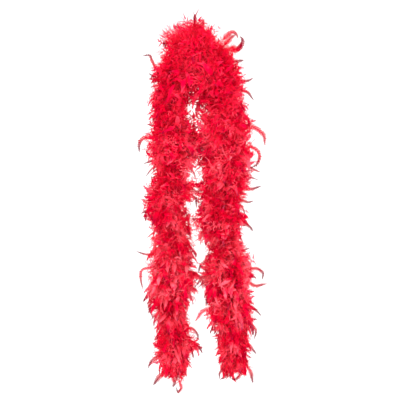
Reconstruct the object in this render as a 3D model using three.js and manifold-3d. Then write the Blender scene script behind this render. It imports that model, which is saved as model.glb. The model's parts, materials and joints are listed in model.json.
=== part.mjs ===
// A feather boa, hanging folded over a hook: one cotton cord with bunches of feathers bound along it.
// Millimetres, +Z up, the front faces -Y. The origin is the underside of the cord at the top of the fold.
import * as THREE from "three";
import { mergeVertices } from "three/addons/utils/BufferGeometryUtils.js";
import Module from "manifold-3d";

const wasm = await Module();
wasm.setup();

// Cord and thread
const cordRadius = 2.5;
const threadRadius = 0.5;
const clearance = 0.3;
const threadOffset = cordRadius + clearance + threadRadius;
const tubeSides = 8;
const stepLength = 27; // between the tube's sections along a leg
const crownStepLength = 12; // the same round the fold
const weldDistance = 1e-4;
const bendGap = 1.5; // free cord on each side of a bend between two lengths

// Lengths of the boa that bend on each other
const lengthsPerLeg = 5;
const bunchesPerLength = 3;
const bunchesOnCrown = 4;

// Feather bunches
const collarBore = 4.4; // where the quills are bound round the cord
const collarWall = 1.6;
const collarHalf = 6;
const collarSides = 8;
const quillRoot = collarBore + collarWall / 3; // the feathers start inside the collar
const featherThickness = 0.8;
const featherWidth = 22;
const widestAt = 0.55; // of the feather's length
const quillWidth = 3;
const feathersInBunch = 8;
const feathersInCrownBunch = 7;
const fullTurn = 2 * Math.PI;
const crownFan = Math.PI; // the inner side of the fold stays open
const sideReach = 66; // length of a feather that points to the front or the back
const outwardExtra = 9; // the feathers are longer on the outside than between the legs
const crownReach = 68;
const reachVariation = 4;
const featherRoll = THREE.MathUtils.degToRad(17);
const droopAtTop = 6;
const droopAtEnd = 26;
const endSkirtDroop = 66; // the last bunch hangs down past the knot
const endSkirtReach = 54;
const goldenAngle = THREE.MathUtils.degToRad(137.5);

// Cord ends
const whippingRadius = 3.7;
const whippingBore = cordRadius + clearance;
const whippingLength = 9;
const whippingSetback = 1; // from the cord's end
const threadSetback = 16; // from the cord's end
const knotRadius = 6;
const knotHeight = 11;
const knotShoulder = 0.8; // of the knot's radius, and of its height
const tailLength = 17;
const tailFlare = 4.4;
const tailWaist = 0.75; // of the flare, halfway down the tail
const tailHollow = 1;

// The cord's route, from the left end over the hook to the right end
const route = [
  [-55, 0, -872], [-63, 4, -812], [-68, 2, -752], [-72, -3, -688], [-71, -3, -620],
  [-67, 1, -560], [-73, 4, -500], [-83, 2, -445], [-80, -2, -385], [-74, -3, -320],
  [-72, 0, -250], [-72, 1, -180], [-73, 0, -120],
  [-71.5, 0, -69], [-62, 0, -33], [-36, 0, -7], [0, 0, 2.5], [36, 0, -7], [62, 0, -33], [71.5, 0, -69],
  [68, 0, -120], [69, -1, -175], [78, -2, -240], [81, 1, -300], [75, 3, -355],
  [63, 2, -405], [61, 0, -455], [70, -2, -510], [82, -3, -570], [83, 0, -630],
  [85, 2, -690], [94, 1, -750], [95, -1, -806], [100, 0, -858],
];
const leftSpring = 13; // the points of the route where the fold turns into the two legs
const rightSpring = 19;

const routePoints = route.map((point) => new THREE.Vector3(...point));
const routeCurve = new THREE.CatmullRomCurve3(routePoints, false, "centripetal");
routeCurve.arcLengthDivisions = 2000;
const routeLength = routeCurve.getLength();

// Distance along the cord, from the left end, to a point of the route.
function distanceTo(index) {
  const lengths = routeCurve.getLengths();
  return lengths[Math.round((index / (route.length - 1)) * (lengths.length - 1))];
}

const crownStart = distanceTo(leftSpring);
const crownEnd = distanceTo(rightSpring);

// The stretch of the cord between two distances, moved by offset.
class Stretch extends THREE.Curve {
  constructor(from, to, offset = new THREE.Vector3()) {
    super();
    Object.assign(this, { from, to, offset });
  }

  getPoint(t, target = new THREE.Vector3()) {
    const distance = THREE.MathUtils.lerp(this.from, this.to, t);
    const share = THREE.MathUtils.clamp(distance / routeLength, 0, 1);
    return routeCurve.getPointAt(share, target).add(this.offset);
  }
}

const materials = {
  cord: new THREE.MeshStandardMaterial({ color: 0xa80f22, roughness: 0.9, metalness: 0 }),
  thread: new THREE.MeshStandardMaterial({ color: 0x8c0a1a, roughness: 0.8, metalness: 0 }),
  feather: new THREE.MeshStandardMaterial({ color: 0xd8152f, roughness: 0.75, metalness: 0 }),
};

const boa = new THREE.Group();

function addPiece(name, geometry, material, matrix) {
  const piece = new THREE.Mesh(geometry, material);
  piece.name = name;
  if (matrix) piece.applyMatrix4(matrix);
  boa.add(piece);
}

function solidFrom(geometry) {
  const bare = geometry.clone();
  bare.deleteAttribute("normal");
  bare.deleteAttribute("uv");
  const merged = mergeVertices(bare, weldDistance);
  return new wasm.Manifold(new wasm.Mesh({
    numProp: 3,
    vertProperties: merged.attributes.position.array,
    triVerts: new Uint32Array(merged.index.array),
  }));
}

function geometryFrom(solid) {
  const mesh = solid.getMesh();
  const geometry = new THREE.BufferGeometry();
  geometry.setAttribute("position", new THREE.BufferAttribute(mesh.vertProperties, mesh.numProp));
  geometry.setIndex(new THREE.BufferAttribute(mesh.triVerts, 1));
  return geometry;
}

function tubeAlong(stretch, radius, step) {
  const section = new THREE.Shape();
  section.absarc(0, 0, radius, 0, fullTurn);
  const outline = new THREE.Shape(section.getPoints(tubeSides).slice(0, tubeSides));
  const steps = Math.max(2, Math.round((stretch.to - stretch.from) / step));
  return new THREE.ExtrudeGeometry(outline, { steps, extrudePath: stretch, bevelEnabled: false });
}

function ring(bore, outer, half, sides) {
  const profile = [[bore, -half], [outer, -half], [outer, half], [bore, half], [bore, -half]];
  const geometry = new THREE.LatheGeometry(profile.map(([r, y]) => new THREE.Vector2(r, y)), sides);
  return geometry.rotateX(Math.PI / 2);
}

// One feather: a flat pointed blade along X that rolls about its quill and bends over towards +Z.
function featherBlade(reach, droop, roll) {
  const span = reach - quillRoot;
  const outline = [
    [0, quillWidth / 2], [widestAt, featherWidth / 2], [1, 0],
    [widestAt, -featherWidth / 2], [0, -quillWidth / 2],
  ];
  const shape = new THREE.Shape(outline.map(([along, across]) => new THREE.Vector2(along * span, across)));
  const blade = new THREE.ExtrudeGeometry(shape, { depth: featherThickness, bevelEnabled: false });
  blade.translate(0, 0, -featherThickness / 2).rotateX(roll).translate(quillRoot, 0, 0);
  const position = blade.attributes.position;
  for (let i = 0; i < position.count; i++) {
    const along = (position.getX(i) - quillRoot) / span;
    position.setZ(i, position.getZ(i) + droop * along * along);
  }
  return blade;
}

// A bunch bound round the cord. Its own +Z runs along the cord to the free end, and +X points outwards.
function featherBunch({ count, fan, turn, reachAt, droop }) {
  let solid = solidFrom(ring(collarBore, collarBore + collarWall, collarHalf, collarSides));
  for (let i = 0; i < count; i++) {
    const angle = fan < fullTurn ? fan * (i / (count - 1) - 0.5) : turn + (fullTurn * i) / count;
    const roll = featherRoll * (i % 2 ? 1 : -1);
    const reach = reachAt(angle) + reachVariation * Math.sin(goldenAngle * (i + 1) + turn);
    solid = solid.add(solidFrom(featherBlade(reach, droop, roll).rotateZ(angle)));
  }
  return geometryFrom(solid);
}

// Where a piece sits at a distance along the cord: +Z towards the free end of its leg, +X outwards.
function placeOnCord(distance, side) {
  const at = distance / routeLength;
  const tangent = routeCurve.getTangentAt(at).multiplyScalar(side === "left" ? -1 : 1);
  const across = new THREE.Vector3(0, side === "left" ? 1 : -1, 0);
  const outward = new THREE.Vector3().crossVectors(across, tangent).normalize();
  across.crossVectors(tangent, outward);
  const matrix = new THREE.Matrix4().makeBasis(outward, across, tangent);
  return matrix.setPosition(routeCurve.getPointAt(at));
}

function addCordLength(name, from, to, step, threadTo = [from, to]) {
  const behind = new THREE.Vector3(0, threadOffset, 0);
  const thread = new Stretch(threadTo[0], threadTo[1], behind);
  addPiece(`cord_${name}`, tubeAlong(new Stretch(from, to), cordRadius, step), materials.cord);
  addPiece(`thread_${name}`, tubeAlong(thread, threadRadius, step), materials.thread);
}

function addCrown() {
  addCordLength("crown", crownStart + bendGap, crownEnd - bendGap, crownStepLength);
  const pitch = (crownEnd - crownStart) / bunchesOnCrown;
  for (let i = 0; i < bunchesOnCrown; i++) {
    const side = i < bunchesOnCrown / 2 ? "left" : "right";
    const bunch = featherBunch({
      count: feathersInCrownBunch,
      fan: crownFan,
      turn: goldenAngle * i,
      reachAt: () => crownReach,
      droop: 0,
    });
    const place = placeOnCord(crownStart + pitch * (i + 0.5), side);
    addPiece(`feathers_crown_${i + 1}`, bunch, materials.feather, place);
  }
}

// One hanging leg, from the fold down to its knot.
function addLeg(side) {
  const towards = side === "left" ? -1 : 1;
  const start = side === "left" ? crownStart : crownEnd;
  const end = side === "left" ? 0 : routeLength;
  const pitch = Math.abs(end - start) / (lengthsPerLeg * bunchesPerLength);
  const bunches = lengthsPerLeg * bunchesPerLength;
  const at = (travelled) => start + towards * travelled;
  for (let i = 0; i < lengthsPerLeg; i++) {
    const last = i === lengthsPerLeg - 1;
    const near = i * bunchesPerLength * pitch + bendGap;
    const far = (i + 1) * bunchesPerLength * pitch - (last ? 0 : bendGap);
    const span = [at(near), at(far)].sort((a, b) => a - b);
    const threadSpan = [at(near), at(last ? far - threadSetback : far)].sort((a, b) => a - b);
    addCordLength(`${side}_${i + 1}`, ...span, stepLength, threadSpan);
  }
  for (let i = 0; i < bunches; i++) {
    const last = i === bunches - 1;
    const downLeg = i / (bunches - 1);
    const bunch = featherBunch({
      count: feathersInBunch,
      fan: fullTurn,
      turn: goldenAngle * i,
      reachAt: (angle) => (last ? endSkirtReach : sideReach + outwardExtra * Math.cos(angle)),
      droop: last ? endSkirtDroop : THREE.MathUtils.lerp(droopAtTop, droopAtEnd, downLeg),
    });
    const number = String(i + 1).padStart(2, "0");
    const place = placeOnCord(at(pitch * (i + 0.5)), side);
    addPiece(`feathers_${side}_${number}`, bunch, materials.feather, place);
  }
  addCordEnd(side, at(Math.abs(end - start)), towards);
}

// The thread whipping round the cord's end, and the knot with its frayed tail below it.
function addCordEnd(side, end, towards) {
  const whipping = ring(whippingBore, whippingRadius, whippingLength / 2, collarSides);
  const whippingAt = end - towards * (whippingLength / 2 + whippingSetback);
  addPiece(`whipping_${side}`, whipping, materials.thread, placeOnCord(whippingAt, side));
  const shoulder = knotRadius * knotShoulder;
  const bottom = knotHeight + tailLength;
  const profile = [
    [0, 0], [cordRadius, 0],
    [shoulder, knotHeight * (1 - knotShoulder)], [knotRadius, knotHeight / 2],
    [shoulder, knotHeight * knotShoulder], [cordRadius, knotHeight],
    [tailFlare * tailWaist, knotHeight + tailLength / 2], [tailFlare, bottom],
    [0, bottom - tailHollow],
  ];
  const knot = new THREE.LatheGeometry(profile.map(([r, y]) => new THREE.Vector2(r, y)), collarSides);
  knot.rotateX(Math.PI / 2).translate(0, 0, clearance);
  addPiece(`knot_${side}`, knot, materials.cord, placeOnCord(end, side));
}

addCrown();
addLeg("left");
addLeg("right");

export default boa;
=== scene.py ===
import json
import math
import random

import bmesh
import bpy
import numpy as np
from mathutils import Matrix, Vector
from mathutils.geometry import interpolate_bezier

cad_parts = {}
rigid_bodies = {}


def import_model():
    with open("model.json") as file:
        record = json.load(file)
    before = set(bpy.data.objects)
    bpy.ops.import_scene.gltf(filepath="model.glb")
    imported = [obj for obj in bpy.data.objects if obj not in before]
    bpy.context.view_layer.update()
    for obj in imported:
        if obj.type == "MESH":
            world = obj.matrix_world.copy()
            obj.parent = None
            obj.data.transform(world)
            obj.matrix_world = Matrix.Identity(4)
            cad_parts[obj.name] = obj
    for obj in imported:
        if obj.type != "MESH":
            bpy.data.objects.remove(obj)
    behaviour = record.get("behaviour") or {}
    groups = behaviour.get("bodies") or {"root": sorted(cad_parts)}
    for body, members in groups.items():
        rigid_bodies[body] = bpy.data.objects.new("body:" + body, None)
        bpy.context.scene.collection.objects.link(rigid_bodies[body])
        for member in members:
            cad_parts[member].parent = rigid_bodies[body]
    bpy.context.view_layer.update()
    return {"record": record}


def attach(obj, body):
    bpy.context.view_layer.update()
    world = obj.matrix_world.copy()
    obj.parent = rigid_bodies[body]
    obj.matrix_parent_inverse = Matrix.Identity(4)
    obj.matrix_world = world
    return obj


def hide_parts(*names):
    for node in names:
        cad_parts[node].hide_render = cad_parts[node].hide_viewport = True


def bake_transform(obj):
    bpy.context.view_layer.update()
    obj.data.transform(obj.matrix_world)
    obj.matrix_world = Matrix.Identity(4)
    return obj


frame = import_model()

# ---------------------------------------------------------------- sizes, in metres

CORD_RADIUS = 0.0025
THREAD_RADIUS = 0.0005
LENGTHS_PER_LEG = 5
SAMPLE_STEP = 0.004
CAMERA_AT = (0.0065, -3.0, -0.416)

# The cord's route, from the left end over the hook to the right end
ROUTE = [
    (-0.055, 0, -0.872), (-0.063, 0.004, -0.812), (-0.068, 0.002, -0.752), (-0.072, -0.003, -0.688),
    (-0.071, -0.003, -0.620), (-0.067, 0.001, -0.560), (-0.073, 0.004, -0.500), (-0.083, 0.002, -0.445),
    (-0.080, -0.002, -0.385), (-0.074, -0.003, -0.320), (-0.072, 0, -0.250), (-0.072, 0.001, -0.180),
    (-0.073, 0, -0.120), (-0.0715, 0, -0.069), (-0.062, 0, -0.033), (-0.036, 0, -0.007), (0, 0, 0.0025),
    (0.036, 0, -0.007), (0.062, 0, -0.033), (0.0715, 0, -0.069), (0.068, 0, -0.120), (0.069, -0.001, -0.175),
    (0.078, -0.002, -0.240), (0.081, 0.001, -0.300), (0.075, 0.003, -0.355), (0.063, 0.002, -0.405),
    (0.061, 0, -0.455), (0.070, -0.002, -0.510), (0.082, -0.003, -0.570), (0.083, 0, -0.630),
    (0.085, 0.002, -0.690), (0.094, 0.001, -0.750), (0.095, -0.001, -0.806), (0.100, 0, -0.858),
]
LEFT_SPRING = 13
RIGHT_SPRING = 19

# How far the fluff reaches from the cord at each height down a leg: away from the fold, and into it
LEFT_REACH = [
    (-0.06, 0.052, 0.105), (-0.08, 0.062, 0.110), (-0.11, 0.052, 0.108), (-0.13, 0.054, 0.092),
    (-0.145, 0.062, 0.060), (-0.165, 0.070, 0.046), (-0.195, 0.062, 0.044), (-0.215, 0.062, 0.054),
    (-0.225, 0.060, 0.100), (-0.24, 0.060, 0.105), (-0.285, 0.080, 0.105), (-0.31, 0.066, 0.084),
    (-0.33, 0.048, 0.056), (-0.36, 0.046, 0.054), (-0.38, 0.060, 0.094), (-0.41, 0.070, 0.084),
    (-0.435, 0.076, 0.056), (-0.465, 0.060, 0.050), (-0.49, 0.056, 0.092), (-0.515, 0.054, 0.062),
    (-0.55, 0.070, 0.074), (-0.58, 0.062, 0.060), (-0.61, 0.080, 0.094), (-0.65, 0.074, 0.082),
    (-0.68, 0.064, 0.060), (-0.72, 0.058, 0.052), (-0.75, 0.046, 0.050), (-0.78, 0.052, 0.066),
    (-0.82, 0.064, 0.076), (-0.845, 0.062, 0.042), (-0.865, 0.050, 0.026), (-0.89, 0.034, 0.018),
]
RIGHT_REACH = [
    (-0.06, 0.048, 0.105), (-0.08, 0.060, 0.110), (-0.11, 0.062, 0.108), (-0.13, 0.066, 0.094),
    (-0.145, 0.072, 0.066), (-0.165, 0.072, 0.054), (-0.195, 0.066, 0.052), (-0.215, 0.074, 0.060),
    (-0.225, 0.080, 0.100), (-0.24, 0.086, 0.108), (-0.285, 0.074, 0.112), (-0.305, 0.080, 0.100),
    (-0.325, 0.086, 0.078), (-0.35, 0.074, 0.072), (-0.375, 0.080, 0.092), (-0.405, 0.058, 0.066),
    (-0.43, 0.070, 0.070), (-0.46, 0.078, 0.066), (-0.49, 0.072, 0.094), (-0.515, 0.056, 0.070),
    (-0.545, 0.058, 0.052), (-0.575, 0.058, 0.058), (-0.60, 0.082, 0.096), (-0.64, 0.082, 0.094),
    (-0.665, 0.068, 0.058), (-0.71, 0.074, 0.072), (-0.735, 0.072, 0.066), (-0.76, 0.060, 0.058),
    (-0.80, 0.056, 0.054), (-0.845, 0.048, 0.048), (-0.875, 0.036, 0.038),
]
# How much lower than their roots the feathers' tips lie, at the fold and how much more at the free ends
TIP_DROP = 0.010
TIP_DROP_MORE = 0.012
# The same round the fold, by the share of the way from its left end to its right, and the feathers' lean
CROWN_REACH = [
    (0, 0.052, 0.105, 0), (0.12, 0.040, 0.105, 0), (0.2, 0.030, 0.105, 0.3), (0.25, 0.038, 0.105, 0.4),
    (0.28, 0.086, 0.105, 0.3), (0.33, 0.110, 0.105, 0.1), (0.38, 0.094, 0.105, 0), (0.5, 0.073, 0.105, 0),
    (0.59, 0.062, 0.105, -0.2), (0.63, 0.038, 0.105, -0.35), (0.76, 0.034, 0.105, -0.1),
    (0.86, 0.046, 0.105, 0), (1, 0.048, 0.105, 0),
]
# To the front and the back it reaches nearly as far as away from the fold, between these two
FRONT_SHARE = 0.94
FRONT_LEAST = 0.044
FRONT_MOST = 0.068

# Feathers for each millimetre of cord, the cord that a bunch takes, and how far its roots are drawn together
VANES_PER_MM = 0.8
LEAVES_PER_MM = 1.2
CURLS_PER_MM = 2.4
PLUMES_PER_MM = 2.2
TUFTS_PER_MM = 2.6
BUNCH_PITCH = 0.018
GATHERED = 0.7
# Feathers that would stand further out to the front or back, or hang lower, are pressed back by this share
FULL_DEPTH = 0.055
LOWEST = -0.885
GIVE = 0.5

# Feathers that stand out from the rest, in millimetres: vane width, then the shaft's points from its root
STANDING_OUT = [
    # the top of the fold
    (6, [(-4, 0, 5), (-7, -8, 40), (-7, -10, 74), (-2, -10, 87), (4, -11, 98)]),
    (5, [(-4, 0, 5), (-8, -6, 40), (-8, -9, 70), (-10, -8, 84), (-12, -8, 94)]),
    (14, [(-3, 0, 5), (-5, -8, 38), (-7, -10, 66), (-8, -10, 84)]),
    (16, [(4, 0, 4), (8, -10, 34), (14, -14, 58), (17, -14, 70)]),
    (15, [(-20, 0, -2), (-36, -10, 26), (-50, -14, 46), (-66, -15, 52)]),
    (17, [(50, -5, -18), (66, -12, 10), (80, -15, 26), (93, -15, 33), (103, -14, 29), (108, -13, 19)]),
    (19, [(60, -5, -30), (85, -14, -8), (105, -15, -7), (117, -14, 3), (119, -13, 15), (113, -12, 24)]),
    (18, [(60, -5, -34), (84, -16, -16), (104, -17, -14), (115, -16, -5), (117, -15, 8)]),
    (16, [(56, -5, -22), (74, -14, 2), (90, -16, 20), (101, -16, 27)]),
    (14, [(-58, 0, -30), (-74, -12, -6), (-88, -14, 6), (-84, -14, -8)]),
    # the left side, going down
    (10, [(-66, 0, -60), (-96, -15, -74), (-112, -18, -60), (-122, -18, -42), (-128, -18, -29),
          (-147, -17, -28)]),
    (10, [(-70, 0, -95), (-105, -14, -90), (-131, -15, -76)]),
    (10, [(-72, 0, -205), (-112, -12, -216), (-136, -13, -212)]),
    (14, [(-72, 0, -235), (-118, -12, -246), (-146, -14, -252), (-155, -14, -264), (-157, -14, -288)]),
    (10, [(-73, 0, -290), (-110, -10, -305), (-145, -12, -318)]),
    (6, [(-74, 0, -300), (-112, -10, -322), (-141, -12, -354)]),
    (12, [(-83, 0, -430), (-122, -10, -440), (-152, -12, -452)]),
    (8, [(-73, 0, -560), (-110, -8, -560), (-138, -10, -562), (-165, -10, -554)]),
    (10, [(-70, 0, -600), (-125, -12, -598), (-148, -14, -604), (-153, -14, -622), (-148, -14, -656)]),
    (12, [(-71, 0, -640), (-115, -10, -665), (-128, -12, -700), (-120, -12, -735)]),
    (12, [(-62, 0, -800), (-100, -10, -830), (-125, -12, -850), (-134, -12, -870)]),
    (15, [(-58, 0, -850), (-90, -8, -880), (-105, -10, -895), (-119, -10, -914)]),
    (10, [(-56, 0, -865), (-50, -6, -900), (-45, -8, -922), (-52, -8, -932), (-58, -8, -920)]),
    (15, [(-57, 0, -860), (-66, -12, -885), (-62, -16, -905), (-66, -16, -918)]),
    # between the legs
    (16, [(-72, 0, -70), (-40, -12, -95), (-12, -15, -116), (6, -15, -132)]),
    (15, [(70, 0, -72), (42, 14, -96), (16, 15, -114), (-4, 15, -134)]),
    (14, [(-72, 0, -95), (-44, 14, -106), (-16, 16, -116), (8, 16, -120)]),
    (15, [(69, 0, -98), (40, -14, -112), (14, -16, -120), (-14, -16, -134)]),
    (13, [(0, 0, -2), (-4, -10, -50), (2, -14, -90), (6, -14, -116)]),
    (15, [(-72, 0, -205), (-40, -12, -222), (-12, -15, -236), (12, -15, -252)]),
    (15, [(74, 0, -200), (46, 12, -224), (18, 14, -240), (-6, 14, -262)]),
    (14, [(-73, 0, -245), (-44, 12, -258), (-16, 16, -270), (8, 16, -290)]),
    (15, [(78, 0, -240), (48, -14, -256), (20, -16, -268), (-8, -16, -282)]),
    (14, [(80, 0, -280), (50, 12, -298), (22, 16, -308), (2, 16, -324)]),
    (14, [(-80, 0, -370), (-46, -12, -382), (-18, -15, -386), (6, -15, -398)]),
    (14, [(66, 0, -366), (38, 12, -380), (12, 15, -388), (-10, 15, -400)]),
    (14, [(-69, 0, -588), (-38, -12, -604), (-10, -15, -612), (12, -15, -628)]),
    (14, [(82, 0, -585), (50, 12, -604), (24, 15, -618), (0, 15, -640)]),
    (10, [(-71, 0, -150), (-40, -5, -154), (-14, -6, -150), (1, -8, -120)]),
    (10, [(-71, 0, -146), (-42, -4, -150), (-20, -5, -142), (-28, -6, -124)]),
    (8, [(70, 0, -150), (30, -8, -170), (-6, -8, -153)]),
    (8, [(78, 0, -285), (30, -8, -292), (-22, -9, -287)]),
    (8, [(-80, 0, -318), (-30, -8, -324), (-12, -9, -340), (-4, -9, -362)]),
    (11, [(-80, 0, -400), (-30, -8, -398), (-6, -9, -412), (-4, -9, -436)]),
    (11, [(82, 0, -570), (36, -10, -578), (10, -12, -590), (2, -12, -612)]),
    (14, [(84, 0, -690), (40, -12, -706), (14, -14, -716), (-6, -14, -742)]),
    (11, [(84, 0, -640), (38, -10, -650), (28, -12, -672), (22, -12, -702)]),
    (12, [(-67, 0, -768), (-20, -10, -760), (-2, -12, -774), (3, -12, -792)]),
    (12, [(-63, 0, -810), (-22, -12, -806), (-2, -14, -806), (13, -14, -828)]),
    # the right side, going down
    (11, [(66, 0, -50), (100, -12, -44), (124, -14, -40)]),
    (11, [(70, 0, -90), (115, -14, -97), (134, -14, -96), (149, -14, -89)]),
    (10, [(69, 0, -112), (118, -12, -120), (135, -13, -128), (151, -14, -148)]),
    (15, [(73, 0, -205), (130, -12, -213), (160, -14, -226), (177, -15, -243), (181, -15, -270)]),
    (12, [(78, 0, -260), (120, -18, -270), (150, -20, -277), (164, -20, -292), (160, -20, -318),
          (138, -20, -332)]),
    (11, [(79, 0, -312), (120, -12, -318), (150, -14, -333), (169, -15, -341)]),
    (8, [(77, 0, -335), (125, -10, -350), (163, -12, -362)]),
    (11, [(74, 0, -360), (120, -15, -385), (146, -16, -386), (171, -17, -378)]),
    (10, [(64, 0, -402), (110, -12, -412), (135, -13, -422), (151, -13, -418)]),
    (6, [(62, 0, -420), (108, -8, -425), (123, -8, -440), (128, -8, -466)]),
    (14, [(64, 0, -470), (112, -10, -474), (136, -12, -484), (150, -12, -500)]),
    (8, [(72, 0, -525), (110, -10, -552), (141, -12, -545)]),
    (12, [(83, 0, -600), (130, -10, -602), (160, -12, -601), (175, -12, -612), (174, -12, -630)]),
    (12, [(83, 0, -625), (125, -10, -630), (155, -12, -646), (186, -13, -641)]),
    (10, [(87, 0, -695), (138, -10, -700), (158, -12, -714), (171, -12, -728)]),
    (10, [(92, 0, -735), (138, -10, -745), (156, -12, -768), (152, -12, -790)]),
    (10, [(95, 0, -790), (135, -10, -806), (158, -12, -830)]),
    (10, [(98, 0, -840), (76, -8, -862), (60, -10, -880), (58, -10, -898)]),
    (10, [(99, 0, -845), (90, -12, -868), (76, -14, -890), (60, -14, -899)]),
    (12, [(100, 0, -848), (113, -8, -866), (114, -10, -884), (102, -10, -897), (90, -10, -897)]),
    (12, [(99, 0, -845), (128, -8, -858), (141, -10, -876), (149, -10, -909)]),
]

# How those are drawn
HAND_QUILL_RADIUS = 0.0009
HAND_BARB_WIDTH = 0.001
HAND_VANE_FROM = 0.4
# Depth, which sets the painted shade and painted highlight of their points: distance from the root over this
# scale, and no more than this
HAND_DEPTH_SCALE = 0.20
HAND_DEPTH_MOST = 0.4
# The broad ones that end in the gap between the legs aren't dark at the tip
BRIDGING_WIDTH_MM = 12
BRIDGING_HALF_GAP = 0.025
BRIDGING_TINT = 0.35

# How the cord, its binding and its ends are made
PLY_RADIUS = 0.00135
PLY_OFFSET = 0.00115
PLY_STEP = 0.001
TWIST_PITCH = 0.014
BEND_REACH = 0.015
WRAP_RADIUS = 0.0034
BINDING_MARGIN = 0.004
BINDING_STEP = 0.0003
TIGHT_PITCH = 0.0011
OPEN_PITCH = 0.016
TIGHT_SHARE = 0.28
WHIPPING_LENGTH = 0.009
WHIPPING_SETBACK = 0.001
WHIPPING_STEP = 0.00012
KNOT_GAP = 0.0003
KNOT_HEIGHT = 0.011
KNOT_SPREAD = 0.0012
KNOT_RISE = 0.0032
KNOT_CORD_RADIUS = 0.0022
KNOT_STEPS = 72
TAIL_LENGTH = 0.017
TAIL_FLARE = 0.0044
TAIL_STRANDS = 22
STRAND_RADIUS = 0.00042
GOLDEN_TURN = 2.4


# ---------------------------------------------------------------- the cord's line

def catmull_rom(points, spacing=0.001):
    """The centripetal curve through the points: the line, its run, and how far along each point is."""
    pts = [Vector(p) for p in points]
    first = pts[0] * 2 - pts[1]
    last = pts[-1] * 2 - pts[-2]
    ext = [first, *pts, last]
    line, marks = [], []
    for i in range(1, len(ext) - 2):
        p0, p1, p2, p3 = ext[i - 1:i + 3]
        t = [0.0]
        for a, b in ((p0, p1), (p1, p2), (p2, p3)):
            t.append(t[-1] + max((b - a).length, 1e-9) ** 0.5)
        span = t[2] - t[1]
        m1 = ((p1 - p0) / t[1] - (p2 - p0) / t[2] + (p2 - p1) / span) * span
        m2 = ((p2 - p1) / span - (p3 - p1) / (t[3] - t[1]) + (p3 - p2) / (t[3] - t[2])) * span
        marks.append(len(line))
        steps = max(2, round((p2 - p1).length / spacing))
        line += interpolate_bezier(p1, p1 + m1 / 3, p2 - m2 / 3, p2, steps + 1)[:-1]
    marks.append(len(line))
    line.append(pts[-1])
    line = np.array([tuple(p) for p in line])
    run = np.concatenate([[0], np.cumsum(np.linalg.norm(np.diff(line, axis=0), axis=1))])
    return line, run, [run[m] for m in marks]


LINE, RUN, MARKS = catmull_rom(ROUTE)
TOTAL = RUN[-1]
CROWN_FROM, CROWN_TO = MARKS[LEFT_SPRING], MARKS[RIGHT_SPRING]


def point_at(distance):
    return np.array([np.interp(distance, RUN, LINE[:, k]) for k in range(3)])


def tangent_at(distance, reach=0.003):
    d = point_at(min(distance + reach, TOTAL)) - point_at(max(distance - reach, 0))
    return d / np.linalg.norm(d)


def body_spans():
    """Each body's stretch of cord, from the fold towards the free end."""
    spans = {"crown": (CROWN_FROM, CROWN_TO)}
    for side, start, end in (("left", CROWN_FROM, 0.0), ("right", CROWN_TO, TOTAL)):
        for i in range(LENGTHS_PER_LEG):
            a = start + (end - start) * i / LENGTHS_PER_LEG
            b = start + (end - start) * (i + 1) / LENGTHS_PER_LEG
            spans[f"{side}_{i + 1}"] = (a, b)
    return spans


SPANS = body_spans()


def cad_nodes(body, prefix):
    return [n for n in frame["record"]["behaviour"]["bodies"][body] if n.startswith(prefix)]


# ---------------------------------------------------------------- camera

def add_camera():
    data = bpy.data.cameras.new("camera")
    data.lens = 100
    data.sensor_width = 36
    cam = bpy.data.objects.new("camera", data)
    cam.location = CAMERA_AT
    cam.rotation_euler = (math.radians(90), 0, 0)
    bpy.context.scene.collection.objects.link(cam)
    bpy.context.scene.camera = cam


add_camera()


# ---------------------------------------------------------------- node helpers

def pick(sockets, key):
    """The socket with that number, or the one in use with that name."""
    if isinstance(key, int):
        return sockets[key]
    return next(s for s in sockets if s.name == key and s.enabled)


class NodeMaker:
    """Short words for the nodes of a material or of a geometry tree."""

    def __init__(self, tree):
        self.tree = tree

    def put(self, value, target):
        """Links the socket to another node's, or sets its value."""
        if isinstance(value, bpy.types.NodeSocket):
            self.tree.links.new(value, target)
        elif target.type == "RGBA":
            target.default_value = (*value, 1)
        else:
            target.default_value = value

    def fill(self, node, inputs):
        for key, value in inputs.items():
            self.put(value, pick(node.inputs, key))

    def node(self, kind, inputs=None, **settings):
        n = self.tree.nodes.new(kind)
        for key, value in settings.items():
            setattr(n, key, value)
        self.fill(n, inputs or {})
        return n

    def out(self, kind, inputs=None, output=None, **settings):
        """A new node's output: the one asked for, or the first in use."""
        sockets = self.node(kind, inputs, **settings).outputs
        return next(s for s in sockets if s.enabled) if output is None else pick(sockets, output)

    def maths(self, operation, *values):
        return self.out("ShaderNodeMath", dict(enumerate(values)), operation=operation)

    def times(self, a, b):
        return self.maths("MULTIPLY", a, b)

    def plus(self, a, b):
        return self.maths("ADD", a, b)


def link_in(scene_object):
    bpy.context.scene.collection.objects.link(scene_object)
    return scene_object


# ---------------------------------------------------------------- materials

WHITE = (1, 1, 1)
BLACK = (0, 0, 0)


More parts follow.
